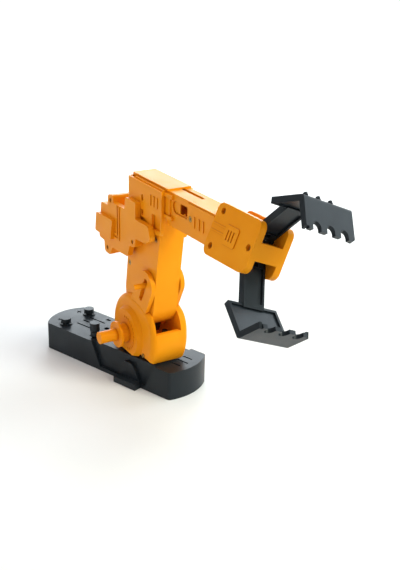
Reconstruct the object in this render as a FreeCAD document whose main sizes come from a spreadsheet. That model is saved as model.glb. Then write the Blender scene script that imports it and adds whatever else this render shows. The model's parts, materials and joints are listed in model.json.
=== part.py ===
"""Toy robot arm: a black battery base, a yellow turret with a hand crank, a column, a forearm
on an elbow, a head that rolls, and two clawed jaws.

Frame: millimetres, +Z up, origin on the turret's yaw axis at the bottom of the base, +X towards
the short end of the base. The turret and all above it are drawn with the arm along +X and are
then turned together by rest_yaw. The head is drawn level about its own centre and then rolled.
"""
import FreeCAD, Part
import math
import os

os.makedirs("parts", exist_ok=True)
doc = FreeCAD.newDocument("robot_arm")
dims = doc.addObject("Spreadsheet::Sheet", "dims")

SIZES = {
    # base
    "base_back": 88, "base_front": 42, "base_half": 20.7, "base_high": 22, "bulge_back": 7,
    "bulge_front": 5, "base_wall": 1.8, "recess_deep": 2.6, "floor_thick": 2, "tab_out": 6.3,
    "tab_high": 4.6, "tab_from": -8, "tab_to": 13.6, "cell_radius": 7.1, "cell_long": 50.5,
    "button_x": -75, "button_pitch": 25.4, "button_shift": 0.7, "button_radius": 3.9,
    "button_top": 27, "lever_x": -41, "lever_y": -13.4, "lever_top": 34, "lever_pivot_z": 18.2,
    "lever_radius": 3.8, "axle_radius": 0.8, "cell_y": 7.4, "cell_z": 9.3, "cell_from": -78.8,
    "board_low": 16.8, "board_thick": 1.1,
    # turret
    "rest_yaw": -19.4, "drum_radius": 29.1, "drum_z": 37.9, "drum_bottom": 23.2,
    "gap_half": 10.1, "near_face": 13.4, "far_face": 16, "wall": 3, "sill_z": 48,
    "drum_soft": 4.5, "drum_soft_far": 3,
    "boss_wide": 20.1, "boss_narrow": 17.9, "boss_high": 3.5, "hub_radius": 7.2,
    "spigot_radius": 6.15, "flange_radius": 9.8, "flange_y": 25, "flange_thick": 1.8, "crank_radius": 4.5,
    "crank_end": 38.6, "crank_core": 2.5, "spindle_radius": 4, "post_x": 20.4, "post_y": -1.8,
    "post_radius": 2, "post_top": 43.2, "eye_radius": 10.75, "eye_slot": 2.2, "eye_up": 6, "eye_down": 13,
    "run_gap": 0.05, "side_gap": 0.3,
    # shoulder and column
    "pin_x": 22.2, "pin_z": 82.7, "pin_radius": 1.9, "pin_near": 22.1, "pin_far": 14.2,
    "column_half": 9.7, "column_front": 9.2, "column_deep": 43, "lean": 8.1,
    "heel_radius": 21.5, "shell_wall": 1.8, "column_top": 138.2,
    # gears
    "gear_module": 0.8, "pinion_teeth": 11, "rack_teeth": 114, "elbow_teeth": 36,
    "jaw_teeth": 13, "gear_wide": 4, "gear_y": 2, "drive_x": 12.36, "drive_z": 121.4,
    "shaft_radius": 1.5,
    # elbow and forearm
    "elbow_x": 15, "elbow_z": 140, "head_radius": 15.2, "elbow_axle": 2.5, "plate_out": 12,
    "plate_in": 10, "block_back": -4.5, "block_front": 43, "block_top": 156,
    "cover_top": 158.6, "cover_half": 8.8, "cover_front": 46, "forearm_half": 8.1,
    "forearm_low": 134.3, "forearm_top": 157.4, "forearm_end": 103.6, "arm_wall": 1.7,
    # gearbox
    "case_near": 16.4, "case_back": 12.3, "case_far": 6, "cover_near": 19.4,
    # head and jaws
    "head_x": 126.9, "head_z": 146.2, "rest_roll": -22.15, "head_half": 22.2,
    "head_tall": 16.7, "head_gap": 8.25, "head_out": 13, "bar_thick": 4.7, "bar_top": 4.4,
    "bar_low": -6.6, "wrist_radius": 4.5, "jaw_x": 8.6, "jaw_z": 5.2, "upper_angle": 49.5,
    "lower_angle": 60.5, "jaw_pin": 1.5, "jaw_half": 7.9, "jaw_thick": 4.7, "claw_half": 18.6,
    "claw_thick": 2.6, "screw_radius": 1.9, "base_bolt": 2,
}
for row, (alias, amount) in enumerate(SIZES.items(), start=1):
    dims.set(f"A{row}", alias)
    dims.set(f"B{row}", str(amount))
    dims.setAlias(f"B{row}", alias)
doc.recompute()

BASE_BOLTS = [(x, y) for x in (-82.7, 36.8) for y in (-14, 14)]
X_AXIS = FreeCAD.Vector(1, 0, 0)
Y_AXIS = FreeCAD.Vector(0, 1, 0)
Z_AXIS = FreeCAD.Vector(0, 0, 1)
NODES = {}


def size(alias):
    """The plain number in a cell of the sheet."""
    return float(getattr(dims, alias))


def bind(thing, path, amount):
    """Bind a property to a sheet expression, where names in the text are the sheet's aliases."""
    if not isinstance(amount, str):
        amount = repr(float(amount))
    words = []
    word = ""
    for letter in amount + " ":
        if letter.isalnum() or letter in "_.":
            word += letter
            continue
        words.append("dims." + word if word in SIZES else word)
        words.append(letter)
        word = ""
    thing.setExpression(path, "".join(words).strip())


def put(thing, x, y, z):
    bind(thing, ".Placement.Base.x", x)
    bind(thing, ".Placement.Base.y", y)
    bind(thing, ".Placement.Base.z", z)


def soften(thing, y, radius):
    """Round every edge of a thing that lies flat at one y."""
    doc.recompute()
    picked = []
    for number, edge in enumerate(thing.Shape.Edges, start=1):
        if abs(edge.BoundBox.YMin - y) < 1e-3 and abs(edge.BoundBox.YMax - y) < 1e-3:
            picked.append((number, radius, radius))
    smooth = doc.addObject("Part::Fillet", "softened")
    smooth.Base = thing
    smooth.Edges = picked
    return smooth


def box(x, y, z, long, wide, high):
    """A block from its lowest corner."""
    thing = doc.addObject("Part::Box", "block")
    bind(thing, "Length", long)
    bind(thing, "Width", wide)
    bind(thing, "Height", high)
    put(thing, x, y, z)
    return thing


TURNS = {
    "x": FreeCAD.Rotation(Y_AXIS, 90),
    "y": FreeCAD.Rotation(X_AXIS, -90),
    "z": FreeCAD.Rotation(),
}


def rod(axis, x, y, z, radius, long):
    """A cylinder that starts at a point and runs along +X, +Y or +Z."""
    thing = doc.addObject("Part::Cylinder", "rod")
    bind(thing, "Radius", radius)
    bind(thing, "Height", long)
    thing.Placement.Rotation = TURNS[axis]
    put(thing, x, y, z)
    return thing


def taper(axis, x, y, z, radius, end_radius, long):
    """A cone frustum that starts at a point and runs along +X, +Y or +Z."""
    thing = doc.addObject("Part::Cone", "taper")
    bind(thing, "Radius1", radius)
    bind(thing, "Radius2", end_radius)
    bind(thing, "Height", long)
    thing.Placement.Rotation = TURNS[axis]
    put(thing, x, y, z)
    return thing


def fuse(*things):
    whole = doc.addObject("Part::MultiFuse", "joined")
    whole.Shapes = list(things)
    whole.Refine = True
    return whole


def cut(base, *tools):
    left = doc.addObject("Part::Cut", "trimmed")
    left.Base = base
    left.Tool = tools[0] if len(tools) == 1 else fuse(*tools)
    left.Refine = True
    return left


def common(first, second):
    shared = doc.addObject("Part::Common", "shared")
    shared.Base = first
    shared.Tool = second
    return shared


def group(*things):
    """Separate solids that share one node."""
    whole = doc.addObject("Part::Compound", "group")
    whole.Links = list(things)
    return whole


def rounded(points):
    """Closed outline through (a, b, corner radius) points, as lines and tangent arcs."""
    ends = []
    arcs = []
    count = len(points)
    for i in range(count):
        here = FreeCAD.Vector(points[i][0], points[i][1], 0)
        before = FreeCAD.Vector(points[i - 1][0], points[i - 1][1], 0) - here
        after_point = points[(i + 1) % count]
        after = FreeCAD.Vector(after_point[0], after_point[1], 0) - here
        radius = points[i][2] if len(points[i]) > 2 else 0
        if not radius:
            ends.append((here, here))
            arcs.append(None)
            continue
        before.normalize()
        after.normalize()
        half = before.getAngle(after) / 2
        back = radius / math.tan(half)
        bisector = before + after
        bisector.normalize()
        centre = here + bisector * (radius / math.sin(half))
        middle = centre - bisector * radius
        ends.append((here + before * back, here + after * back))
        arcs.append(Part.Arc(ends[-1][0], middle, ends[-1][1]))
    edges = []
    for i in range(count):
        if arcs[i]:
            edges.append(arcs[i])
        start, stop = ends[i][1], ends[(i + 1) % count][0]
        if (stop - start).Length > 1e-6:
            edges.append(Part.LineSegment(start, stop))
    return edges


def ring(a, b, radius):
    """A full circle as an outline of its own."""
    return [Part.Circle(FreeCAD.Vector(a, b, 0), Z_AXIS, radius)]


def plate(plane, outlines, low, high):
    """Body with one sketch on XZ or XY, padded from low to high along Y or Z."""
    body = doc.addObject("PartDesign::Body", "body")
    sketch = body.newObject("Sketcher::SketchObject", "outline")
    roles = {item.Role: item for item in body.Origin.OriginFeatures}
    sketch.AttachmentSupport = [(roles[plane + "_Plane"], "")]
    sketch.MapMode = "FlatFace"
    for edges in outlines:
        sketch.addGeometry(edges, False)
    # The XZ plane's normal is -Y, so a pad along it starts from the high side.
    start = f"-({high})" if plane == "XZ" else low
    bind(sketch, ".AttachmentOffset.Base.z", start)
    pad = body.newObject("PartDesign::Pad", "pad")
    pad.Profile = sketch
    bind(pad, "Length", f"({high})-({low})")
    body.Tip = pad
    return body


def gear(teeth, spread, toward, bore, low, high, rim=None):
    """Spur gear about the Y axis, or a sector of it that spans `spread` degrees each side of
    the direction `toward`. The flanks are straight and thinned for backlash."""
    teeth = int(teeth)
    module = size("gear_module")
    pitch_radius = teeth * module / 2
    tip, root = pitch_radius + 0.7 * module, pitch_radius - 1.15 * module
    step = 2 * math.pi / teeth
    root_half, tip_half = 0.80 * module / root, 0.32 * module / tip
    whole = spread >= 180
    count = teeth if whole else int(math.radians(spread) / step) * 2 + 1
    first = 0 if whole else -(count // 2)
    points = []
    for k in range(first, first + count):
        middle = math.radians(toward) + k * step
        for radius, turn in ((root, -root_half), (tip, -tip_half), (tip, tip_half),
                             (root, root_half)):
            angle = middle + turn
            points.append((radius * math.cos(angle), radius * math.sin(angle)))
    if not whole:
        for sign in (1, -1):
            angle = math.radians(toward) + sign * count / 2 * step
            points.append((rim * math.cos(angle), rim * math.sin(angle)))
    outlines = [rounded(points)]
    if bore:
        outlines.append(ring(0, 0, bore))
    return plate("XZ", outlines, low, high)


def moved(thing, x, z):
    """The same thing carried to (x, z) in the arm's plane."""
    holder = doc.addObject("Part::Compound", "carried")
    holder.Links = [thing]
    holder.Placement.Base = FreeCAD.Vector(x, 0, z)
    return holder


BASE = FreeCAD.Placement()
ARM = FreeCAD.Placement(FreeCAD.Vector(), FreeCAD.Rotation(Z_AXIS, size("rest_yaw")))
HEAD = ARM * FreeCAD.Placement(FreeCAD.Vector(size("head_x"), 0, size("head_z")),
                               FreeCAD.Rotation(X_AXIS, size("rest_roll")))
UPPER = HEAD * FreeCAD.Placement(FreeCAD.Vector(size("jaw_x"), 0, size("jaw_z")),
                                 FreeCAD.Rotation(Y_AXIS, -size("upper_angle")))
LOWER = HEAD * FreeCAD.Placement(FreeCAD.Vector(size("jaw_x"), 0, -size("jaw_z")),
                                 FreeCAD.Rotation(Y_AXIS, size("lower_angle"))
                                 * FreeCAD.Rotation(X_AXIS, 180))


def node(name, thing, frame):
    """Name a finished sub-part and put it in its frame."""
    holder = doc.addObject("Part::Compound", name)
    holder.Links = [thing]
    holder.Label = name
    holder.Placement = frame
    NODES[name] = holder


def screw(axis, x, y, z, sign, long, radius="screw_radius"):
    """Pan-head screw whose head starts at the point and whose shank runs on past it."""
    head = rod(axis, x, y, z, radius, 1.2)
    spot = {"x": x, "y": y, "z": z}
    spot[axis] = f"{spot[axis]}+({1.2 if sign > 0 else -long})"
    return fuse(head, rod(axis, spot["x"], spot["y"], spot["z"], f"{radius}*0.5", long))


# ---------------------------------------------------------------- base
def base_outline(inset):
    back, front = -size("base_back") + inset, size("base_front") - inset
    half = size("base_half") - inset
    back_mid, front_mid = back - size("bulge_back"), front + size("bulge_front")
    corner = 2.0
    return [
        Part.LineSegment(FreeCAD.Vector(back + corner, -half, 0),
                         FreeCAD.Vector(front - corner, -half, 0)),
        Part.Arc(FreeCAD.Vector(front - corner, -half, 0),
                 FreeCAD.Vector(front - 0.4, -half + 0.7, 0),
                 FreeCAD.Vector(front + 0.5, -half + corner, 0)),
        Part.Arc(FreeCAD.Vector(front + 0.5, -half + corner, 0), FreeCAD.Vector(front_mid, 0, 0),
                 FreeCAD.Vector(front + 0.5, half - corner, 0)),
        Part.Arc(FreeCAD.Vector(front + 0.5, half - corner, 0),
                 FreeCAD.Vector(front - 0.4, half - 0.7, 0),
                 FreeCAD.Vector(front - corner, half, 0)),
        Part.LineSegment(FreeCAD.Vector(front - corner, half, 0),
                         FreeCAD.Vector(back + corner, half, 0)),
        Part.Arc(FreeCAD.Vector(back + corner, half, 0),
                 FreeCAD.Vector(back + 0.4, half - 0.7, 0),
                 FreeCAD.Vector(back - 0.6, half - corner, 0)),
        Part.Arc(FreeCAD.Vector(back - 0.6, half - corner, 0), FreeCAD.Vector(back_mid, 0, 0),
                 FreeCAD.Vector(back - 0.6, -half + corner, 0)),
        Part.Arc(FreeCAD.Vector(back - 0.6, -half + corner, 0),
                 FreeCAD.Vector(back + 0.4, -half + 0.7, 0),
                 FreeCAD.Vector(back + corner, -half, 0)),
    ]


def recess(low, high):
    """Sloping side recess with a bell-shaped boss left standing in it."""
    outline = [(-38.5, 24), (-28.5, 2.9, 1), (-9, 2.9, 1), (-4.6, 17, 5), (5.4, 17, 6),
               (12.6, 3.4, 1), (18, 3.4, 1), (28.5, 24)]
    return plate("XZ", [rounded(outline)], low, high)


def make_base():
    shell = plate("XY", [base_outline(0)], "0", "base_high")
    tabs = [box("tab_from", y, 0, "tab_to-tab_from", "tab_out+0.5", "tab_high")
            for y in ("-base_half-tab_out", "base_half-0.5")]
    shell_with_tabs = fuse(shell, *tabs)
    cavity = box("-base_back+3", "-base_half+recess_deep+base_wall", -1,
                 "base_back+base_front-6", "2*(base_half-recess_deep-base_wall)",
                 "base_high-base_wall+1")
    sides = [recess("-base_half-1", "-base_half+recess_deep"),
             recess("base_half-recess_deep", "base_half+1")]
    top = size("base_high")
    marks = [box(-69.5, y, top - 0.7, 17, 1.5, 2) for y in (-5.9, 1.1, 8.1)]
    marks += [box(31, y, top - 0.7, long, 1.5, 2)
              for y, long in ((-7.4, 8.6), (-0.5, 10.4), (6.3, 8.6))]
    marks += [box(-86.4, y - 0.6, top - 0.6, 4.4, 1.2, 2) for y in (-9.6, 11)]
    marks += [box(-84.8, y - 2.2, top - 0.6, 1.2, 4.4, 2) for y in (-9.6, 11)]
    marks += [box(-57, 14, top - 0.9, 4.4, 2.6, 2)]
    holes = [rod("z", "button_x", f"{side}*button_pitch/2+button_shift", 15,
                 "button_radius-1.4+side_gap", 9) for side in (-1, 1)]
    holes += [box("lever_x-4.6", "lever_y-1.9", 15, 9.2, 3.8, 9),
              rod("z", 0, 0, 15, "spindle_radius", 9),
              rod("z", "post_x", "post_y", 15, "post_radius", 9),
              rod("z", -44.5, 3, top - 2.2, 2.1, 4)]
    holes += [rod("z", x, y, 0, "base_bolt*0.5", 10.2) for x, y in BASE_BOLTS]
    corners = [box(x, y, "floor_thick", 4.8, 5, "base_high-base_wall-floor_thick+0.5")
               for x in (-85.2, 34.4) for y in (-16.8, 11.8)]
    stops = [rod("z", x, y, "board_low+board_thick", 1.5, 3) for x in (-66, -50) for y in (-11, 11)]
    rib = box("cell_from-2.6", -11.8, 3, 1.7, 23.6, "base_high-base_wall-2.8")
    node("base_housing", cut(fuse(cut(shell_with_tabs, cavity, *sides, *marks), *corners, *stops,
                                  rib), *holes), BASE)
    floor = box("-base_back+3.2", "-base_half+recess_deep+base_wall+0.2", 0,
                "base_back+base_front-6.4", "2*(base_half-recess_deep-base_wall)-0.4",
                "floor_thick")
    door_hole = box(-80, -12, -1, 52, 24, 4)
    floor_holes = []
    for x, y in BASE_BOLTS:
        floor_holes += [rod("z", x, y, -1, "base_bolt+0.1", 2.2),
                        rod("z", x, y, 0, "base_bolt*0.5", 4)]
    node("base_floor", cut(floor, door_hole, *floor_holes), BASE)
    door = fuse(box(-79.8, -11.8, 0, 51.6, 23.6, 1.6), box(-79.6, -5, 1.4, 1.4, 10, 1.2),
                box(-81, -5, 2.05, 2.8, 10, 0.55))
    node("battery_door", cut(door, box(-31.6, -4, -0.5, 2, 8, 1.1)), BASE)
    cells = [fuse(rod("x", "cell_from", f"{side}*cell_y", "cell_z", "cell_radius",
                      "cell_long-1.5"),
                  rod("x", "cell_from+cell_long-1.5", f"{side}*cell_y", "cell_z", 2.7, 1.4))
             for side in (-1, 1)]
    node("battery_cells", group(*cells), BASE)
    contacts = [box("cell_from-0.9", f"{side}*cell_y-4.5", 5, 0.9, 9, 9) for side in (-1, 1)]
    contacts += [box("cell_from+cell_long-0.1", -12.4, 5, 0.5, 24.8, 9)]
    node("battery_contacts", group(*contacts), BASE)
    node("battery_wall", box("cell_from+cell_long+0.4", -16.3, 2, 1.6, 32.6, 18.2), BASE)
    node("base_screws", group(*[screw("z", x, y, 0, 1, 9, "base_bolt") for x, y in BASE_BOLTS]),
         BASE)
    node("switch_board", box("cell_from-0.7", -15.6, "board_low", 33, 31.2, "board_thick"), BASE)
    node("turntable_spindle", fuse(rod("z", 0, 0, 18.4, 8, "base_high-base_wall-18.4"),
                                   rod("z", 0, 0, 19, "spindle_radius", 10.6),
                                   rod("z", 0, 0, 19, 1.5, 12.2)), BASE)
    node("spindle_washer", cut(rod("z", 0, 0, 29.6, 6.4, 1), rod("z", 0, 0, 29, 1.5, 3)), BASE)
    node("turntable_ring", cut(rod("z", 0, 0, "base_high", 13, 0.9), rod("z", 0, 0, 20, 5, 4)),
         BASE)
    node("yaw_stop_post", fuse(rod("z", "post_x", "post_y", 18.6, "post_radius",
                                   "post_top-18.6"),
                               rod("z", "post_x", "post_y", 18.6, 3.4,
                                   "base_high-base_wall-18.6")), BASE)
    make_switches()


def make_switches():
    cups = []
    for name, side in (("button_a", -1), ("button_b", 1)):
        y = f"{side}*button_pitch/2+button_shift"
        cap = rod("z", "button_x", y, "base_high+1.6", "button_radius", "button_top-base_high-1.6")
        stem = rod("z", "button_x", y, 19.1, "button_radius-1.4", 5)
        skirt = box("button_x-button_radius", f"{y}-2", 19, "2*button_radius", 4, 0.9)
        node(name, fuse(cap, stem, skirt), BASE)
        cups.append(cut(rod("z", "button_x", y, "base_high", 5.1, 0.8),
                        rod("z", "button_x", y, 20, 4.3, 4)))
    node("button_rims", group(*cups), BASE)
    stem = box("lever_x-1.6", "lever_y-1.6", "lever_pivot_z", 3.2, 3.2, "lever_top-lever_pivot_z-3")
    barrel = rod("y", "lever_x", "lever_y-1.7", "lever_pivot_z", 1.8, 3.4)
    cap = rod("z", "lever_x", "lever_y", "lever_top-6.4", "lever_radius", 6.4)
    collar = rod("z", "lever_x", "lever_y", "base_high+1.2", "lever_radius-0.4", 3.6)
    bore = rod("y", "lever_x", "lever_y-3", "lever_pivot_z", "axle_radius+run_gap", 6)
    node("selector_lever", cut(fuse(stem, barrel, cap, collar), bore), BASE)
    cheeks = [box("lever_x-1.2", y, "lever_pivot_z-1.2", 2.4, 0.8,
                  "base_high-base_wall-lever_pivot_z+1.2") for y in ("lever_y-2.8", "lever_y+2")]
    node("lever_axle", fuse(rod("y", "lever_x", "lever_y-2.4", "lever_pivot_z", "axle_radius",
                                4.8), *cheeks), BASE)


# ---------------------------------------------------------------- turret
def drum_outline(inset):
    """Round drum flattened below and drawn out to a blunt front."""
    radius = size("drum_radius") - inset
    centre_z, bottom = size("drum_z"), size("drum_bottom")
    half = math.sqrt(radius ** 2 - (centre_z - bottom) ** 2)
    steep = math.radians(80)
    start = FreeCAD.Vector(radius * math.cos(steep), centre_z + radius * math.sin(steep), 0)
    back = FreeCAD.Vector(-radius, centre_z, 0)
    low_back = FreeCAD.Vector(-half, bottom, 0)
    low_front = FreeCAD.Vector(30 - inset, bottom, 0)
    brow = FreeCAD.Vector(28.8 - 0.7 * inset, 60.2 - 0.7 * inset, 0)
    nose = FreeCAD.Vector(35 - inset, 45, 0)
    return [
        Part.Arc(start, back, low_back),
        Part.LineSegment(low_back, low_front),
        Part.Arc(low_front, FreeCAD.Vector(34.4 - inset, 34, 0), nose),
        Part.Arc(nose, FreeCAD.Vector(33.4 - inset, 53.6 - 0.4 * inset, 0), brow),
        Part.Arc(brow, FreeCAD.Vector(17.8 - 0.3 * inset, 64.9 - 0.9 * inset, 0), start),
    ]


def eye(low, high):
    """Eye lug: a leaning rounded tongue with a slot that the shoulder pin runs in."""
    pin_x, pin_z, radius = size("pin_x"), size("pin_z"), size("eye_radius")
    along = math.atan2(pin_z - size("drum_z"), pin_x)
    ux, uz = math.cos(along), math.sin(along)

    def tongue(half, up, down):
        top = (pin_x + ux * up, pin_z + uz * up)
        foot = (pin_x - ux * down, pin_z - uz * down)
        side = (-uz * half, ux * half)
        crest = (top[0] + ux * half, top[1] + uz * half)
        corners = [FreeCAD.Vector(foot[0] + side[0], foot[1] + side[1], 0),
                   FreeCAD.Vector(top[0] + side[0], top[1] + side[1], 0),
                   FreeCAD.Vector(top[0] - side[0], top[1] - side[1], 0),
                   FreeCAD.Vector(foot[0] - side[0], foot[1] - side[1], 0)]
        base = FreeCAD.Vector(foot[0] - ux * half, foot[1] - uz * half, 0)
        return [Part.LineSegment(corners[0], corners[1]),
                Part.Arc(corners[1], FreeCAD.Vector(crest[0], crest[1], 0), corners[2]),
                Part.LineSegment(corners[2], corners[3]),
                Part.Arc(corners[3], base, corners[0])]

    slot = tongue(size("eye_slot"), size("eye_up") - size("eye_slot"), size("eye_down"))
    return plate("XZ", [tongue(radius, 0, 24), slot], low, high)


TURRET_SCREW_X = (-21.5, 21.5)
TURRET_SCREW_Z = 27.2


def make_turret():
    drum = plate("XZ", [drum_outline(0)], "-near_face", "far_face")
    drum = soften(drum, -size("near_face"), size("drum_soft"))
    drum = soften(drum, size("far_face"), size("drum_soft_far"))
    inside = plate("XZ", [drum_outline(size("wall"))], "-gap_half", "gap_half")
    floor = box(-40, "-gap_half", "drum_bottom-1", 80, "2*gap_half", "wall+1")
    above = box(-40, "-gap_half", "sill_z", 80, "2*gap_half", 40)
    behind = box(-40, "-gap_half", "drum_bottom+wall", 40, "2*gap_half", 40)
    hub = rod("z", 0, 0, "drum_bottom", 7.4, 6.2)
    slot_area = box(9, "-gap_half+0.4", "drum_bottom-1", 20, "2*gap_half-0.8", "wall+2")
    slot = cut(common(rod("z", 0, 0, 20, "post_x+post_radius+0.7", 12), slot_area),
               rod("z", 0, 0, 19, "post_x-post_radius-0.5", 14))
    screw_bores = []
    for x in TURRET_SCREW_X:
        screw_bores += [rod("y", x, -16, TURRET_SCREW_Z, 1.6, 3.1),
                        rod("y", x, -14, TURRET_SCREW_Z, 0.75, 3.5)]
    rim = plate("XZ", [drum_outline(1.5)], "-near_face-1", "near_face+1")
    frame = fuse(cut(drum, cut(inside, floor), above, behind), hub,
                 cut(eye("-near_face", "-gap_half-0.1"), rim),
                 cut(eye("gap_half+0.1", "near_face"), rim))
    bores = [rod("y", 0, -20, "drum_z", "spigot_radius", 40),
             rod("z", 0, 0, 20, "spindle_radius+run_gap", 14), slot, *screw_bores]
    node("turret_frame", cut(frame, *bores), ARM)
    step = taper("y", 0, "-near_face-boss_high", "drum_z", "boss_narrow", "boss_wide",
                 "boss_high")
    collar = rod("y", 0, "-flange_y+flange_thick+side_gap", "drum_z", "hub_radius",
                 "flange_y-flange_thick-side_gap-near_face-1")
    spigot = rod("y", 0, "-near_face", "drum_z", "spigot_radius", "near_face-gap_half")
    below = box(-30, -30, 10, 60, 60, "drum_bottom-10")
    cover = cut(fuse(step, collar, spigot),
                rod("y", 0, -40, "drum_z", "crank_core+0.9+run_gap", 40), below)
    marks = [box(x, "-near_face-boss_high-0.4", z, 1.1, 0.8, 1.6)
             for x, z in [(12.4 * math.cos(a) - 0.55, size("drum_z") + 12.4 * math.sin(a) - 0.8)
                          for a in [math.radians(100 - 13.5 * k) for k in range(14)]]]
    node("near_bearing_cover", fuse(cover, *marks), ARM)
    lid = taper("y", 0, "far_face", "drum_z", "boss_wide", "boss_narrow", 1.6)
    plug = rod("y", 0, "gap_half", "drum_z", "spigot_radius", "far_face-gap_half")
    node("far_bearing_cover", cut(fuse(lid, plug),
                                  rod("y", 0, 5, "drum_z", "crank_core+run_gap", 9), below), ARM)
    handle = fuse(rod("y", 0, "-crank_end", "drum_z", "crank_radius",
                      "crank_end-flange_y+0.2"),
                  rod("y", 0, "-flange_y", "drum_z", "flange_radius", "flange_thick"),
                  rod("y", 0, "-flange_y", "drum_z", "crank_core+0.9", "flange_y-gap_half+1"),
                  rod("y", 0, -10, "drum_z", "crank_core", 23.5))
    node("crank_spindle", handle, ARM)
    pinion = gear(size("pinion_teeth"), 180, math.degrees(
        math.atan2(size("pin_z") - size("drum_z"), size("pin_x"))) + 180.0 / size("pinion_teeth"),
        size("crank_core"), "gear_y", "gear_y+gear_wide")
    node("crank_pinion", moved(pinion, 0, size("drum_z")), ARM)
    node("turret_screws", group(*[screw("y", x, -14.1, TURRET_SCREW_Z, 1, 2.4, "1.5")
                                  for x in TURRET_SCREW_X]), ARM)


# ---------------------------------------------------------------- column
def column_outline(inset, top):
    """Leaning column with a round heel below and a flat top."""
    lean = math.radians(size("lean"))
    pin_x, pin_z = size("pin_x"), size("pin_z")

    def spot(deep, high):
        """A point `deep` behind the pin line and `high` along the lean."""
        return FreeCAD.Vector(pin_x - deep * math.cos(lean) + high * math.sin(lean),
                              pin_z + deep * math.sin(lean) + high * math.cos(lean), 0)

    front = -size("column_front") + inset
    back = front + size("column_deep") - 2 * inset
    middle = (front + back) / 2
    radius = size("heel_radius") - inset
    heel = -16.3
    long = (top - pin_z) / math.cos(lean)
    right = spot(front, long)
    left = spot(back, long)
    return [
        Part.LineSegment(right, spot(front, heel)),
        Part.Arc(spot(front, heel), spot(middle, heel - radius), spot(back, heel)),
        Part.LineSegment(spot(back, heel), left),
        Part.LineSegment(left, right),
    ]


COLUMN_SCREWS = [(31.9, 119.3), (-7.3, 89.8)]
CASE_FOOT = (9.4, 111.6)
CASE_BOLTS = [(-24.8, 132.8), (-30.6, 94.8), CASE_FOOT]


def rack_aim():
    """Direction from the shoulder pin to the crank, in degrees in the arm's plane."""
    return math.degrees(math.atan2(size("drum_z") - size("pin_z"), -size("pin_x")))


def make_column():
    wall = size("shell_wall")
    for name, side in (("column_near_shell", -1), ("column_far_shell", 1)):
        low, high = ("-column_half", "0") if side < 0 else ("0", "column_half")
        inner_low, inner_high = (("-column_half+shell_wall", "0.5") if side < 0
                                 else ("-0.5", "column_half-shell_wall"))
        skin = plate("XZ", [column_outline(0, size("column_top"))], low, high)
        knuckle = plate("XZ", [ring(size("elbow_x"), size("elbow_z"), size("head_radius"))],
                        low, high)
        hollow = plate("XZ", [column_outline(wall, size("column_top") - wall)],
                       inner_low, inner_high)
        room = plate("XZ", [ring(size("elbow_x"), size("elbow_z"),
                                 size("head_radius") - wall)], inner_low, inner_high)
        foot, tall = (("-column_half", "shell_wall+2.4") if side < 0
                      else ("column_half-shell_wall-1.5", "shell_wall+1.5"))
        bosses = [rod("y", x, foot, z, radius, tall)
                  for x, z, radius in (("pin_x", "pin_z", 4.4), ("elbow_x", "elbow_z", 5),
                                       ("drive_x", "drive_z", 4.2))]
        bores = [rod("y", "pin_x", -12, "pin_z", "pin_radius", 24),
                 rod("y", "elbow_x", -12, "elbow_z", "elbow_axle+run_gap", 24),
                 rod("y", "drive_x", -12, "drive_z", "shaft_radius+run_gap", 20)]
        if side < 0:
            bosses += [rod("y", x, -8.5, z, 3.2, 8.4) for x, z in COLUMN_SCREWS]
            for x, z in COLUMN_SCREWS:
                bores += [rod("y", x, -10.5, z, 2.1, 2.1), rod("y", x, -9, z, 0.95, 7.6)]
            bores.append(rod("y", CASE_FOOT[0], -11, CASE_FOOT[1], 0.8, 2.6))
        else:
            rack_turns = [math.radians(rack_aim() + turn) for turn in (-1.5, 8)]
            bosses += [rod("y", size("pin_x") + 38 * math.cos(turn), "gear_y+gear_wide",
                           size("pin_z") + 38 * math.sin(turn), 3.5, 2.2) for turn in rack_turns]
            bores.append(box(-14, "gear_y-0.5", 35, 29.5, "gear_wide+0.5", 20))
        shell = fuse(skin, knuckle)
        node(name, cut(fuse(cut(shell, hollow, room), *bosses), *bores), ARM)
    node("shoulder_pin", rod("y", "pin_x", "-pin_near", "pin_z", "pin_radius",
                             "pin_near+pin_far"), ARM)
    rack = gear(size("rack_teeth"), 9, rack_aim() + 360 / size("rack_teeth"), None, "gear_y",
                "gear_y+gear_wide", rim=34)
    node("column_rack", moved(rack, size("pin_x"), size("pin_z")), ARM)
    node("column_screws", group(*[screw("y", x, -9.6, z, 1, 7) for x, z in COLUMN_SCREWS]), ARM)
    make_gearbox()


def drive_aim():
    """Direction from the drive pinion to the elbow, in degrees in the arm's plane."""
    return math.degrees(math.atan2(size("elbow_z") - size("drive_z"),
                                   size("elbow_x") - size("drive_x")))


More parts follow.
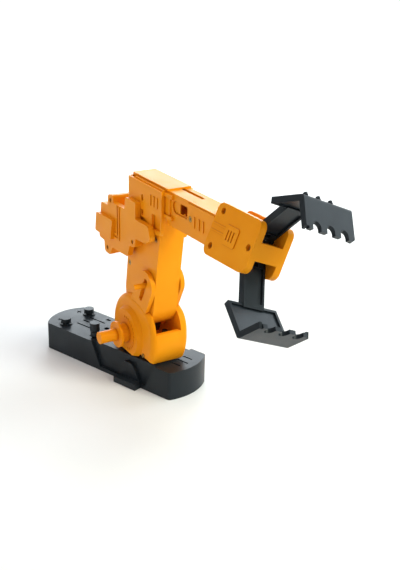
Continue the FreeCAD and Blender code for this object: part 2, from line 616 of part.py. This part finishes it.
def make_gearbox():
    case = [(-40.4, 127.8, 2), (-29.6, 128.4), (-28.6, 136.8, 3), (-21, 137.4, 2),
            (-20, 132, 1), (-2.4, 132.4, 1), (-1.2, 141.7, 1.5), (14.2, 141.5, 1.5),
            (13.9, 129.4, 1), (32.4, 129.6, 2.5), (35.8, 120.6, 4), (28.6, 116.4, 2),
            (14.4, 115.4), (13.4, 108.6, 3), (5.4, 107.6, 1), (2, 98.4, 2), (-9, 97.8, 1),
            (-22, 97.4, 1), (-26.4, 90.4, 2), (-35, 90.8, 3), (-35.8, 99, 1), (-44.4, 99.6, 2)]
    front = plate("XZ", [rounded(case)], "-case_near", "-case_back")
    pocket = [(-38.2, 125.6), (-4, 126.4), (-3, 128.5), (30.8, 127.4), (33.2, 121.4), (28, 118.6),
              (19, 118.4), (16.5, 116.8), (13.2, 116), (9, 115.6), (0, 101), (-41.6, 101.8)]
    front = fuse(front, rod("y", CASE_FOOT[0], "-case_back-0.5", CASE_FOOT[1], 3.4,
                            "case_back+0.5-column_half"))
    bolt_holes = []
    for x, z in CASE_BOLTS:
        bolt_holes += [rod("y", x, -20, z, 1.7, 5.6), rod("y", x, -15, z, 0.8, 8)]
    front = cut(front, plate("XZ", [rounded(pocket)], "-case_near+1.8", "-case_back+1"),
                *bolt_holes)
    ridges = []
    for shift in (0, 3.2):
        ridges += [box(-14.6 + shift, "-case_near-0.7", 109.5 - shift, 1.4, 1.0, 22 + shift),
                   box(-18.2, "-case_near-0.7", 109.5 - shift, 4 + shift, 1.0, 1.4)]
    node("gearbox_front_case", fuse(front, *ridges), ARM)
    back_room = [(-40.4, 127.4, 2), (-29.6, 128.4), (-28.6, 136.4, 3), (-21, 137, 2),
                 (-20.2, 128.4), (-8.2, 128.2), (-12.2, 99.2), (-22, 97.6), (-26.4, 90.6, 2),
                 (-34.8, 91, 3), (-35.6, 99.4), (-44.2, 99.8, 2)]
    inside = [(-38.4, 125.6), (-10.3, 126.4), (-14, 101.2), (-42, 101.8)]
    back = plate("XZ", [rounded(back_room)], "-case_back", "case_far")
    back = cut(back, plate("XZ", [rounded(inside)], "-case_back-1", "case_far-1.8"),
               *[rod("y", x, -15, z, 0.8, 8) for x, z in CASE_BOLTS[:2]])
    lean_cut = plate("XZ", [column_outline(-0.02, size("column_top") + 12)], "-case_back-1",
                     "case_far+1")
    node("gearbox_back_case", cut(back, lean_cut), ARM)
    panel = [(-43, 119.6, 1.5), (-16.2, 120.4, 1.5), (-19.6, 104.4, 1.5), (-45.2, 104.9, 1.5)]
    node("motor_cover", plate("XZ", [rounded(panel)], "-cover_near", "-case_near"), ARM)
    can = [(-38.2, 123.6, 4), (-14.4, 123.6, 4), (-14.4, 103.8, 4), (-38.2, 103.8, 4)]
    node("elbow_motor", fuse(plate("XZ", [rounded(can)], "-case_back+1.4", "case_far-2.2"),
                             rod("x", -15, -4, 113.7, 1, 2.6)), ARM)
    node("gearbox_screws", group(*[screw("y", x, -15.6, z, 1, 6, "1.6") for x, z in CASE_BOLTS]),
         ARM)
    teeth = size("pinion_teeth")
    pinion = gear(teeth, 180, drive_aim() + 180 / teeth, None, "gear_y", "gear_y+gear_wide")
    wheel = gear(teeth, 180, 0, None, -14, -12.6)
    shaft = rod("y", 0, -14.2, 0, "shaft_radius", 21.4)
    node("elbow_drive_pinion", moved(fuse(pinion, wheel, shaft), size("drive_x"),
                                     size("drive_z")), ARM)


# ---------------------------------------------------------------- elbow and forearm
def make_elbow():
    back, front, top = size("block_back"), size("block_front"), size("block_top")
    near = [(back, top), (front, top), (front, 125, 3), (28, 123.6, 1), (22, 131.5, 1),
            (back + 7, 131.5, 2), (back, 140, 2)]
    window = [(29.6, 127), (41.2, 127.6, 1), (41.2, 137.6), (29.6, 137.8)]
    slots = [rounded([(14.6, low, 1), (17.2, low, 1), (17.2, high, 1), (14.6, high, 1)])
             for low, high in ((143, 147.6), (132.6, 137))]
    hinge = ring(size("elbow_x"), size("elbow_z"), size("elbow_axle"))
    plain = plate("XZ", [rounded(near), rounded(window), *slots, hinge], "-plate_out", "-plate_in")
    ridges = [box(x, "-plate_out-0.6", 143.1, 1.3, 0.8, 7.4) for x in (27.5, 32, 36.5)]
    node("elbow_near_plate", fuse(plain, *ridges), ARM)
    far = [(back, top), (front, top), (front, 140, 2), (38.6, 138, 1), (36.4, 118.4, 2),
           (24, 120, 2), (18, 131.5, 1), (back + 7, 131.5, 2), (back, 140, 2)]
    node("elbow_far_plate", plate("XZ", [rounded(far), hinge], "plate_in", "plate_out"), ARM)
    wall = box("block_front-2", "-plate_in", 138.8, 2, "2*plate_in", "block_top-138.8")
    lips = [box("block_front", "-plate_in", z, 9.6, "2*plate_in", 2.5) for z in (138.6, 153.3)]
    neck = box("block_front", "-plate_in+0.9", 138.6, 6, "2*plate_in-1.8", 17.2)
    sleeve = box("block_front", "-forearm_half", "forearm_low-1", 20, "2*forearm_half",
                 "forearm_top-forearm_low+1")
    node("elbow_collar", fuse(cut(fuse(neck, *lips), sleeve), wall), ARM)
    lid = box("block_back+1", "-cover_half", "block_top", "cover_front-block_back-1",
              "2*cover_half", "cover_top-block_top")
    steps = [box(3, y, "block_top", "block_front-3", "plate_in", 1.1)
             for y in ("-plate_in-0.6", "0.6")]
    rear = box("block_back", "-plate_in", 147, 1.8, "2*plate_in", "block_top-146.5")
    over = box("block_front", "-plate_in", "block_top-1", 6, "2*plate_in",
               "forearm_top-block_top+1")
    node("elbow_cover", cut(fuse(lid, rear, *steps), over), ARM)
    node("elbow_axle", rod("y", "elbow_x", "-plate_out-0.2", "elbow_z", "elbow_axle",
                           "2*plate_out+0.2"), ARM)
    wheel = gear(size("elbow_teeth"), 36, drive_aim() + 180, None, "gear_y", "gear_y+gear_wide",
                 rim=7)
    hub = plate("XZ", [ring(0, 0, 7.2)], "gear_y", "gear_y+gear_wide")
    wheel = cut(fuse(wheel, hub), rod("y", 0, 0, 0, "elbow_axle", 10))
    node("elbow_gear", moved(wheel, size("elbow_x"), size("elbow_z")), ARM)


def make_forearm():
    low, top, end = size("forearm_low"), size("forearm_top"), size("forearm_end")
    start = size("block_front")
    outline = [(start, low), (end, low, 1.5), (end, top, 1.5), (start, top)]
    wall = size("arm_wall")
    x, z = 74.6, 146.3
    inside = [(start - 1, low + wall), (end - 5, low + wall), (end - 5, top - wall),
              (start - 1, top - wall)]
    for name, side in (("forearm_near_shell", -1), ("forearm_far_shell", 1)):
        ends = ("-forearm_half", "0") if side < 0 else ("0", "forearm_half")
        inner = (("-forearm_half+arm_wall", "0.5") if side < 0
                 else ("-0.5", "forearm_half-arm_wall"))
        skin = plate("XZ", [rounded(outline)], *ends)
        cuts = [plate("XZ", [rounded(inside)], *inner),
                rod("x", 90, 0, "head_z", "wrist_radius+run_gap", 20)]
        extra = [box(71, f"{'-forearm_half-0.6' if side < 0 else 'forearm_half'}",
                     low + 1.2, end - 72.2, 0.6, top - low - 2.4)]
        if side < 0:
            extra += [box(ridge, "-forearm_half-1.2", 142, 1.4, 0.8, 7.2)
                      for ridge in (79.2, 84.8, 89.8)]
            slot = [(51.4, 144.4, 4.2), (70.4, 144.4, 2), (70.4, 153, 2), (51.4, 153, 4.2)]
            cuts += [plate("XZ", [rounded(slot)], "-forearm_half-1", "-forearm_half+0.9"),
                     box(59.5, "-forearm_half-1", 145.4, 9.8, 4, 6.6)]
        else:
            cuts += [box(44, 1.2, "forearm_top-3", 28, 2.8, 5)]
        whole = cut(fuse(skin, *extra), *cuts)
        if side < 0:
            whole = cut(fuse(whole, rod("y", x, -6.9, z, 3, 6.8)),
                        rod("y", x, -10, z, 2.1, 2.6), rod("y", x, -8, z, 0.95, 6.6))
        node(name, whole, ARM)
    node("forearm_screw", screw("y", x, -8.6, z, 1, 6), ARM)


# ---------------------------------------------------------------- head and jaws
def make_head():
    half, tall = size("head_half"), size("head_tall")
    outline = [(-half, -tall, 5), (half, -tall + 0.6, 6), (half, tall - 0.4, 5),
               (-half, tall, 5)]
    screws = [(-16, 11.7), (-16.6, -10.6), (18, -0.8)]
    holes = [ring(x, z, 2.1) for x, z in screws]
    sockets = [rod("y", "jaw_x", "-head_out+1.8", f"{side}*jaw_z", "jaw_pin", "2*head_out-3.6")
               for side in (1, -1)]
    emblem = plate("XZ", [rounded([(-7.4, -6, 1.6), (6, -6, 1.6), (6, 6, 1.6), (-7.4, 6, 1.6)])],
                   "-head_out-0.7", "-head_out+0.5")
    grooves = [box(x, "-head_out-1.5", -3.2, 1.2, 1.4, 6.4) for x in (-4.1, -1.3, 1.5)]
    lines = [box(-half + 1, "-head_out-0.4", z, half - 8, 0.8, 1) for z in (2.6, -1.6)]
    face = plate("XZ", [rounded(outline), *holes], "-head_out", "-head_gap")
    node("head_near_plate", cut(fuse(cut(fuse(face, emblem), *grooves), *lines), *sockets), HEAD)
    node("head_far_plate", cut(plate("XZ", [rounded(outline)], "head_gap", "head_out"),
                               *sockets), HEAD)
    core = [(-half, -14.4), (7.5, -14.4), (7.5, -12.4), (-4.4, -12.4, 2), (-4.4, 12.4, 2),
            (7.5, 12.4), (7.5, 14.4), (-half, 14.4)]
    block = cut(plate("XZ", [rounded(core)], "-head_gap", "head_gap"),
                rod("x", -30, 0, 0, "wrist_radius", 20),
                *[rod("y", x, -10, z, 0.95, 8) for x, z in screws[:2]])
    node("head_core", block, HEAD)
    bar = box("head_half-bar_thick", "-head_gap", "bar_low", "bar_thick", "2*head_gap",
              "bar_top-bar_low")
    node("head_crossbar", cut(bar, rod("y", 18, -10, -0.8, 0.95, 8)), HEAD)
    node("wrist_spindle", fuse(rod("x", -31.1, 0, 0, "wrist_radius", 21.1),
                               rod("x", -31.1, 0, 0, 5.8, 2.5)), HEAD)
    node("jaw_pins", group(*[rod("y", "jaw_x", "-head_out+1.8", f"{side}*jaw_z", "jaw_pin",
                                 "2*head_out-3.6") for side in (1, -1)]), HEAD)
    node("head_screws", group(*[screw("y", x, "-head_out+2.2", z, 1, 6.4) for x, z in screws]),
         HEAD)


CLAW_ROOT = FreeCAD.Vector(32.6, 2.2, 0)
CLAW_BEND = FreeCAD.Vector(54.4, -10.4, 0)
CLAW_TIP = FreeCAD.Vector(50.4, -29.4, 0)


def claw_outline(inset):
    """Bent claw plate: the flange runs out from the arm and the toothed plate turns in."""
    thick = size("claw_thick") + inset
    flange, blade = (CLAW_BEND - CLAW_ROOT), (CLAW_TIP - CLAW_BEND)
    flange.normalize()
    blade.normalize()
    flange_in = FreeCAD.Vector(flange.y, -flange.x, 0)
    blade_in = FreeCAD.Vector(blade.y, -blade.x, 0)
    half = math.pi / 2 - flange.getAngle(blade) / 2
    inner_bend = CLAW_BEND + (blade - flange).normalize() * (thick / math.sin(half))
    inner_tip, inner_root = CLAW_TIP + blade_in * thick, CLAW_ROOT + flange_in * thick
    return [(CLAW_ROOT.x, CLAW_ROOT.y), (CLAW_BEND.x, CLAW_BEND.y, 2.2), (CLAW_TIP.x, CLAW_TIP.y),
            (inner_tip.x, inner_tip.y), (inner_bend.x, inner_bend.y, 0.6),
            (inner_root.x, inner_root.y)]


def lip_outline():
    """Rim across the flange where the arm meets it."""
    along = (CLAW_BEND - CLAW_ROOT).normalize()
    inward = FreeCAD.Vector(along.y, -along.x, 0)
    near, far = size("claw_thick") - 0.5, size("claw_thick") + 1.2
    spots = [CLAW_ROOT + inward * near, CLAW_ROOT + inward * far,
             CLAW_ROOT + inward * far + along * 1.8, CLAW_ROOT + inward * near + along * 1.8]
    return [(spot.x, spot.y) for spot in spots]


def make_jaw(side, frame, turn, phase):
    """One jaw along +X of its frame, closing towards -Z. The gear points a tooth or a gap
    straight at the other jaw's pivot, `turn` degrees round from the arm."""
    arm = box(0, "-jaw_half", "-jaw_thick/2", 33, "2*jaw_half", "jaw_thick")
    hub = rod("y", 0, "-jaw_half", 0, 4.3, "2*jaw_half")
    gear_room = box(-7, "-gear_wide/2", -7, 14.4, "gear_wide", 14)
    trays = [box(8, "-jaw_half+1.5", z, 21.6, "2*jaw_half-3", 2.4)
             for z in ("-jaw_thick/2-1", "jaw_thick/2-1.4")]
    bore = rod("y", 0, -10, 0, "jaw_pin+run_gap", 20)
    claw = plate("XZ", [rounded(claw_outline(0))], "-claw_half", "claw_half")
    lip = plate("XZ", [rounded(lip_outline())], "-claw_half", "claw_half")
    beyond = plate("XZ", [rounded([(32.6, 2.2), (54.4, -10.4), (70, 0), (60, 30), (30, 30)])],
                   "-jaw_half-1", "jaw_half+1")
    node(f"{side}_jaw_arm", cut(fuse(arm, hub), gear_room, *trays, bore, claw, lip, beyond),
         frame)
    notches = []
    for y in (-10.6, 0, 10.6):
        notches += [rod("x", 40, y, -27.4, 3, 20), box(40, y - 3, -33, 20, 6, 5.6)]
    rims = [plate("XZ", [rounded(claw_outline(1.2))], low, high)
            for low, high in (("-claw_half", "-claw_half+1.8"), ("claw_half-1.8", "claw_half"))]
    pegs = [rod("z", 51.8, y, -8.9, 1.3, 1.9) for y in (-14, -4.5, 5)]
    corners = [box(40, y, -30.5, 20, 3, 2.4) for y in (-19.6, 16.6)]
    node(f"{side}_jaw_claw", cut(fuse(claw, lip, *rims, *pegs), *notches, *corners), frame)
    wheel = gear(size("jaw_teeth"), 180, -90 - turn + phase, size("jaw_pin") + size("run_gap"),
                 "-gear_wide/2", "gear_wide/2")
    node(f"{side}_jaw_gear", wheel, frame)


def check_and_write():
    doc.recompute()
    bad = []
    for item in doc.Objects:
        if "Invalid" in item.State or "Error" in item.State:
            bad.append((item.Label, item.State))
    for name, holder in NODES.items():
        shape = holder.Shape
        if shape.isNull() or not shape.isValid() or not shape.Solids:
            bad.append((name, "shape"))
    if bad:
        raise SystemExit(f"not built: {bad}")
    for name, holder in NODES.items():
        holder.Shape.exportStep(f"parts/{name}.step")
        print(name, len(holder.Shape.Solids), round(holder.Shape.Volume))
    print(len(NODES), "nodes")


make_base()
make_turret()
make_column()
make_elbow()
make_forearm()
make_head()
make_jaw("upper", UPPER, size("upper_angle"), 0)
make_jaw("lower", LOWER, size("lower_angle"), 180 / size("jaw_teeth"))
check_and_write()
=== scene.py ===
"""Toy robot arm: finishes for the CAD nodes, painted shade for the driver socket in each screw
head, studio, camera.
"""
import bmesh
import bpy
import json
import math
from mathutils import Matrix, Vector


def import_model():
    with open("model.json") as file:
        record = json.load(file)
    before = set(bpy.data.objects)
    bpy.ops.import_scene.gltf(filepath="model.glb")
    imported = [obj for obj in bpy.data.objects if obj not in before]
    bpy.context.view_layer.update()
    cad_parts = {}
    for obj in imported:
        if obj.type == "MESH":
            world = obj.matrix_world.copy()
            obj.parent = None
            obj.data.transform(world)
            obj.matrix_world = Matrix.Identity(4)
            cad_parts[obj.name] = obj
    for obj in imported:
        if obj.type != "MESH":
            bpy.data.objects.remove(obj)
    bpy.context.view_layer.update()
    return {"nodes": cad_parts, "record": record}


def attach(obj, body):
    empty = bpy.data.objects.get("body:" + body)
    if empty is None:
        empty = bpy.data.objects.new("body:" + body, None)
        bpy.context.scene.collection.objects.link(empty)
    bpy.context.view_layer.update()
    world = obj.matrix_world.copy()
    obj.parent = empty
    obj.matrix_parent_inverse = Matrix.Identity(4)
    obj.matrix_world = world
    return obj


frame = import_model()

NODES = frame["nodes"]

# ------------------------------------------------------------------ materials
# Pattern scales, in cycles per metre.
DRIFT = 26
HANDLING = 70
RIPPLE = 90
GRAIN = 5200
TARNISH = 300
WEAR = 700
SCRATCH = 4000
# Lengths, in metres.
RIPPLE_HIGH = 0.0003
GRAIN_HIGH = 0.00004
SCRATCH_HIGH = 0.00003
# How far the painted shade in the plastic's corners and grooves reaches.
HOLLOW_SHADE_REACH = 0.003
GLOW_DEEP = 0.0022


def new_material(name):
    material = bpy.data.materials.new(name)
    material.use_nodes = True
    tree = material.node_tree
    return material, tree, tree.nodes["Principled BSDF"]


def noise(tree, scale, detail, offset=0.0):
    """Noise over the object's own coordinates, in cycles per metre."""
    place = tree.nodes.new("ShaderNodeTexCoord")
    shift = tree.nodes.new("ShaderNodeMapping")
    shift.inputs["Location"].default_value = (offset, offset, offset)
    tree.links.new(place.outputs["Object"], shift.inputs["Vector"])
    pattern = tree.nodes.new("ShaderNodeTexNoise")
    pattern.inputs["Scale"].default_value = scale
    pattern.inputs["Detail"].default_value = detail
    tree.links.new(shift.outputs["Vector"], pattern.inputs["Vector"])
    return pattern.outputs["Fac"]


def ramp(tree, value, stops):
    """Colour or grey ramp over a value between 0 and 1."""
    node = tree.nodes.new("ShaderNodeValToRGB")
    elements = node.color_ramp.elements
    while len(elements) < len(stops):
        elements.new(0.5)
    for element, (place, colour) in zip(elements, stops):
        element.position = place
        element.color = (*colour, 1)
    tree.links.new(value, node.inputs["Fac"])
    return node.outputs["Color"]


def bump(tree, shader, layers):
    """Stacked bumps from (height value, distance in metres, strength)."""
    last = None
    for value, distance, strength in layers:
        node = tree.nodes.new("ShaderNodeBump")
        node.inputs["Distance"].default_value = distance
        node.inputs["Strength"].default_value = strength
        tree.links.new(value, node.inputs["Height"])
        if last:
            tree.links.new(last, node.inputs["Normal"])
        last = node.outputs["Normal"]
    tree.links.new(last, shader.inputs["Normal"])


def painted_hollow_shade(tree, colour, painted_shade_colour):
    """The colour, darkened by painted shade in the piece's own corners and grooves."""
    hollow = tree.nodes.new("ShaderNodeAmbientOcclusion")
    hollow.only_local = True
    hollow.samples = 8
    hollow.inputs["Distance"].default_value = HOLLOW_SHADE_REACH
    depth = ramp(tree, hollow.outputs["AO"], [(0.35, painted_shade_colour), (0.85, (1, 1, 1))])
    blend = tree.nodes.new("ShaderNodeMixRGB")
    blend.blend_type = "MULTIPLY"
    blend.inputs["Fac"].default_value = 1.0
    tree.links.new(colour, blend.inputs["Color1"])
    tree.links.new(depth, blend.inputs["Color2"])
    return blend.outputs["Color"]


def moulded(name, dark, plain, pale, rough, grain, seed, gloss=0.5, glow=0.0,
             sheen=(1, 1, 1), painted_shade_colour=None):
    """Moulded plastic: a slow drift of colour, a fine grain, faint flow ripples and patches
    where handling has polished it."""
    material, tree, shader = new_material(name)
    drift = noise(tree, DRIFT, 3, seed)
    colour = ramp(tree, drift, [(0.3, dark), (0.5, plain), (0.72, pale)])
    # Painted shade: the colour is darkened in the piece's own corners and grooves.
    if painted_shade_colour:
        colour = painted_hollow_shade(tree, colour, painted_shade_colour)
    tree.links.new(colour, shader.inputs["Base Color"])
    handled = noise(tree, HANDLING, 4, seed + 3)
    polish = ramp(tree, handled, [(0.3, (rough - 0.05,) * 3), (0.7, (rough + 0.06,) * 3)])
    tree.links.new(polish, shader.inputs["Roughness"])
    bump(tree, shader, [(noise(tree, RIPPLE, 1, seed + 5), RIPPLE_HIGH, 0.10),
                        (noise(tree, GRAIN, 2, seed), GRAIN_HIGH, grain)])
    shader.inputs["Specular IOR Level"].default_value = gloss
    shader.inputs["Specular Tint"].default_value = (*sheen, 1)
    if glow:
        shader.inputs["Subsurface Weight"].default_value = glow
        shader.inputs["Subsurface Radius"].default_value = (1.0, 0.45, 0.08)
        shader.inputs["Subsurface Scale"].default_value = GLOW_DEEP
    return material


def metal(name, dark, pale, rough, scratch):
    """Plated metal with fine turned or drawn lines."""
    material, tree, shader = new_material(name)
    shader.inputs["Metallic"].default_value = 1.0
    colour = ramp(tree, noise(tree, TARNISH, 3), [(0.3, dark), (0.7, pale)])
    tree.links.new(colour, shader.inputs["Base Color"])
    wear = ramp(tree, noise(tree, WEAR, 4, 2), [(0.3, (rough - 0.08,) * 3),
                                               (0.7, (rough + 0.1,) * 3)])
    tree.links.new(wear, shader.inputs["Roughness"])
    bump(tree, shader, [(noise(tree, SCRATCH, 2, 1), SCRATCH_HIGH, scratch)])
    return material


# The last colour given to the yellow plastic is painted shade, which darkens its corners and
# grooves.
YELLOW = moulded("yellow_plastic", (0.86, 0.285, 0.005), (0.90, 0.305, 0.006),
                 (0.93, 0.34, 0.010), 0.36, 0.20, 0.0, gloss=0.14, glow=0.04,
                 sheen=(1.0, 0.72, 0.25), painted_shade_colour=(0.6, 0.38, 0.3))
BLACK = moulded("black_plastic", (0.010, 0.014, 0.018), (0.014, 0.019, 0.024),
                (0.021, 0.028, 0.035), 0.33, 0.30, 7.0, gloss=0.2)
NYLON = moulded("gear_plastic", (0.018, 0.019, 0.021), (0.026, 0.027, 0.029),
                (0.035, 0.036, 0.038), 0.45, 0.15, 11.0)
BOARD = moulded("circuit_board", (0.01, 0.09, 0.035), (0.015, 0.12, 0.05), (0.02, 0.15, 0.06),
                0.4, 0.3, 13.0)
SLEEVE = moulded("cell_jacket", (0.03, 0.03, 0.035), (0.05, 0.05, 0.055), (0.07, 0.07, 0.075),
                 0.35, 0.1, 17.0)
STEEL = metal("steel", (0.42, 0.24, 0.06), (0.54, 0.33, 0.10), 0.45, 0.4)
NICKEL = metal("contact_metal", (0.62, 0.60, 0.55), (0.75, 0.73, 0.69), 0.25, 0.2)
# Painted shade: this dark colour stands for the shade inside the driver socket of each screw
# head.
SOCKET_SHADE = metal("socket_painted_shade", (0.06, 0.045, 0.025), (0.10, 0.075, 0.04), 0.5, 0.4)
FINISHES = {
    "yellow_plastic": YELLOW, "black_plastic": BLACK, "gear_plastic": NYLON, "steel": STEEL,
    "cell_jacket": SLEEVE, "contact_metal": NICKEL, "circuit_board": BOARD, "motor_can": NICKEL,
}
for part in frame["record"]["subparts"]:
    node = NODES[part["node"]]
    node.data.materials.clear()
    node.data.materials.append(FINISHES[part["material_slot"]])

# ------------------------------------------------------------------ surfaces
FLAT_ANGLE = math.radians(1)
EDGE_ANGLE = math.radians(32)
EDGE_WIDTH = 0.0009


def smooth(node):
    """Shades the curved faces of a CAD node smooth and joins its flat ones, by a modifier."""
    node.data.shade_smooth()
    joined = node.modifiers.new("flat faces", "DECIMATE")
    joined.decimate_type = "DISSOLVE"
    joined.angle_limit = FLAT_ANGLE


def soften(node):
    """Rounds the few sharp edges of a node whose two faces share their points."""
    bevel = node.modifiers.new("edges", "BEVEL")
    bevel.width = EDGE_WIDTH
    bevel.segments = 3
    bevel.limit_method = "ANGLE"
    bevel.angle_limit = EDGE_ANGLE
    bevel.harden_normals = True


for node in NODES.values():
    smooth(node)
soften(NODES["turret_frame"])

# ------------------------------------------------------------------ painted shade for the driver socket in each screw head
ARM_TURN = math.radians(-19.4)
HEAD_ROLL = math.radians(-22.15)
ARM_SPIN = Matrix.Rotation(ARM_TURN, 3, "Z")
ARM_OUT = ARM_SPIN @ Vector((0, -1, 0))
HEAD_OUT = ARM_SPIN @ Matrix.Rotation(HEAD_ROLL, 3, "X") @ Vector((0, -1, 0))
WELD = 1e-6
FACE_DEEP = 0.00005
SOCKET_PROUD = 0.00004
SOCKET_DEEP = 0.0004
SOCKET_REACH = 0.55
SOCKET_HALF = 0.13
SCREWS = [("turret_screws", "turret", ARM_OUT), ("column_screws", "arm", ARM_OUT),
          ("gearbox_screws", "arm", ARM_OUT), ("forearm_screw", "forearm", ARM_OUT),
          ("head_screws", "head", HEAD_OUT)]


def islands(node):
    """The separate shells of a CAD node, as lists of points in the frame."""
    work = bmesh.new()
    work.from_mesh(node.data)
    bmesh.ops.remove_doubles(work, verts=work.verts, dist=WELD)
    left = set(work.verts)
    shells = []
    for start in work.verts:
        if start not in left:
            continue
        left.remove(start)
        reach = [start]
        shell = []
        while reach:
            vert = reach.pop()
            shell.append(node.matrix_world @ vert.co)
            for edge in vert.link_edges:
                other = edge.other_vert(vert)
                if other in left:
                    left.remove(other)
                    reach.append(other)
        shells.append(shell)
    work.free()
    return shells


def cross(work, centre, out, reach, half):
    """A plus-shaped prism that stands on a screw head, pointing out of it."""
    side = out.orthogonal().normalized()
    up = out.cross(side)
    walk = [(half, half), (half, reach), (-half, reach), (-half, half), (-reach, half),
            (-reach, -half), (-half, -half), (-half, -reach), (half, -reach), (half, -half),
            (reach, -half), (reach, half)]
    rings = []
    for lift in (-SOCKET_DEEP, SOCKET_PROUD):
        rings.append([work.verts.new(centre + side * a + up * b + out * lift) for a, b in walk])
    count = len(walk)
    for i in range(count):
        j = (i + 1) % count
        work.faces.new((rings[0][i], rings[0][j], rings[1][j], rings[1][i]))
    work.faces.new(rings[1])
    work.faces.new(list(reversed(rings[0])))


def paint_socket_shade(name, body, out):
    """Crosses of painted shade on the heads of one node's screws, standing for the shade in
    each head's driver socket, on the body that carries them.
    """
    work = bmesh.new()
    for shell in islands(NODES[name]):
        top = max(point.dot(out) for point in shell)
        face = [point for point in shell if top - point.dot(out) < FACE_DEEP]
        centre = sum(face, Vector()) / len(face)
        radius = max((point - centre).length for point in face)
        cross(work, centre, out, SOCKET_REACH * radius, SOCKET_HALF * radius)
    bmesh.ops.recalc_face_normals(work, faces=work.faces)
    mesh = bpy.data.meshes.new(f"{name}_socket_shade")
    work.to_mesh(mesh)
    work.free()
    mesh.materials.append(SOCKET_SHADE)
    piece = bpy.data.objects.new(f"{name}_socket_shade", mesh)
    bpy.context.collection.objects.link(piece)
    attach(piece, body)


for name, body, out in SCREWS:
    paint_socket_shade(name, body, out)

# ------------------------------------------------------------------ studio
TARGET = Vector((0.0507, 0.0, 0.0867))
WALL = Vector((-1.5, 1.9, 0.4))
CAMERA_AZIMUTH = math.radians(38.6)
CAMERA_ELEVATION = math.radians(22.22)
CAMERA_ROLL = math.radians(1.71)
CAMERA_DISTANCE = 0.6182


def outward(turn, rise):
    """Direction from the arm towards a viewpoint; azimuth 0 is -Y and 90 degrees is +X."""
    return Vector((math.sin(turn) * math.cos(rise), -math.cos(turn) * math.cos(rise),
                   math.sin(rise)))


def floor():
    """A pale round floor that curves up into a wall on every side."""
    flat, turn, rim, steps, sides = 2.0, 1.4, 3.2, 16, 96
    profile = [(flat, 0.0)]
    for step in range(1, steps + 1):
        angle = math.pi / 2 * step / steps
        profile.append((flat + turn * math.sin(angle), turn * (1 - math.cos(angle))))
    profile.append((flat + turn, rim))
    points = [(0, 0, 0)]
    faces = []
    for reach, high in profile:
        for side in range(sides):
            angle = 2 * math.pi * side / sides
            points.append((reach * math.cos(angle), reach * math.sin(angle), high))
    for side in range(sides):
        after = (side + 1) % sides
        faces.append((0, 1 + side, 1 + after))
        for row in range(len(profile) - 1):
            low, high = 1 + row * sides, 1 + (row + 1) * sides
            faces.append((low + side, high + side, high + after, low + after))
    mesh = bpy.data.meshes.new("floor")
    mesh.from_pydata(points, [], faces)
    mesh.shade_smooth()
    sweep = bpy.data.objects.new("floor", mesh)
    bpy.context.collection.objects.link(sweep)
    material, tree, shader = new_material("floor")
    tone = ramp(tree, noise(tree, 3, 2), [(0.3, (0.86, 0.86, 0.86)), (0.7, (0.88, 0.88, 0.88))])
    tree.links.new(tone, shader.inputs["Base Color"])
    shader.inputs["Roughness"].default_value = 0.7
    mesh.materials.append(material)


def softbox(name, azimuth, elevation, distance, wide, power, tint, target):
    """A square area light that looks at a point, out of the camera's sight."""
    lamp = bpy.data.lights.new(name, "AREA")
    lamp.size = wide
    lamp.energy = power
    lamp.color = tint
    holder = bpy.data.objects.new(name, lamp)
    bpy.context.collection.objects.link(holder)
    back = outward(math.radians(azimuth), math.radians(elevation))
    holder.location = target + back * distance
    holder.rotation_euler = back.to_track_quat("Z", "Y").to_euler()
    holder.visible_camera = False


def camera():
    lens = bpy.data.cameras.new("camera")
    lens.lens = 56.0
    lens.sensor_width = 36.0
    lens.clip_start = 0.01
    back = outward(CAMERA_AZIMUTH, CAMERA_ELEVATION)
    level = Vector((math.cos(CAMERA_AZIMUTH), math.sin(CAMERA_AZIMUTH), 0))
    upright = back.cross(level)
    right = level * math.cos(CAMERA_ROLL) + upright * math.sin(CAMERA_ROLL)
    up = back.cross(right)
    place = Matrix((right, up, back)).transposed().to_4x4()
    place.translation = TARGET + back * CAMERA_DISTANCE
    holder = bpy.data.objects.new("camera", lens)
    holder.matrix_world = place
    bpy.context.collection.objects.link(holder)
    bpy.context.scene.camera = holder


def world():
    sky = bpy.data.worlds.new("studio")
    sky.use_nodes = True
    sky.node_tree.nodes["Background"].inputs["Color"].default_value = (0.93, 0.96, 1.0, 1)
    sky.node_tree.nodes["Background"].inputs["Strength"].default_value = 0.25
    bpy.context.scene.world = sky


# Name, azimuth, elevation, distance, width, power, tint, what it looks at.
LAMPS = [
    ("key", 100, 38, 1.3, 0.6, 12.5, (0.94, 1.0, 0.84), TARGET),
    ("front", -15, 32, 1.6, 1.0, 4.6, (1.0, 0.87, 0.76), TARGET),
    ("side", 155, 27, 1.4, 0.8, 7, (0.82, 0.92, 1.0), TARGET),
    ("top", 60, 85, 1.4, 0.9, 5, (0.97, 0.98, 1.0), TARGET),
    ("back", 218, 18, 1.4, 0.9, 10, (0.84, 0.93, 1.0), TARGET),
    ("wash", 38.6, 50, 1.5, 1.5, 32, (1.0, 1.0, 1.0), WALL),
]

floor()
camera()
world()
for lamp in LAMPS:
    softbox(*lamp)
bpy.context.scene.view_settings.view_transform = "Standard"
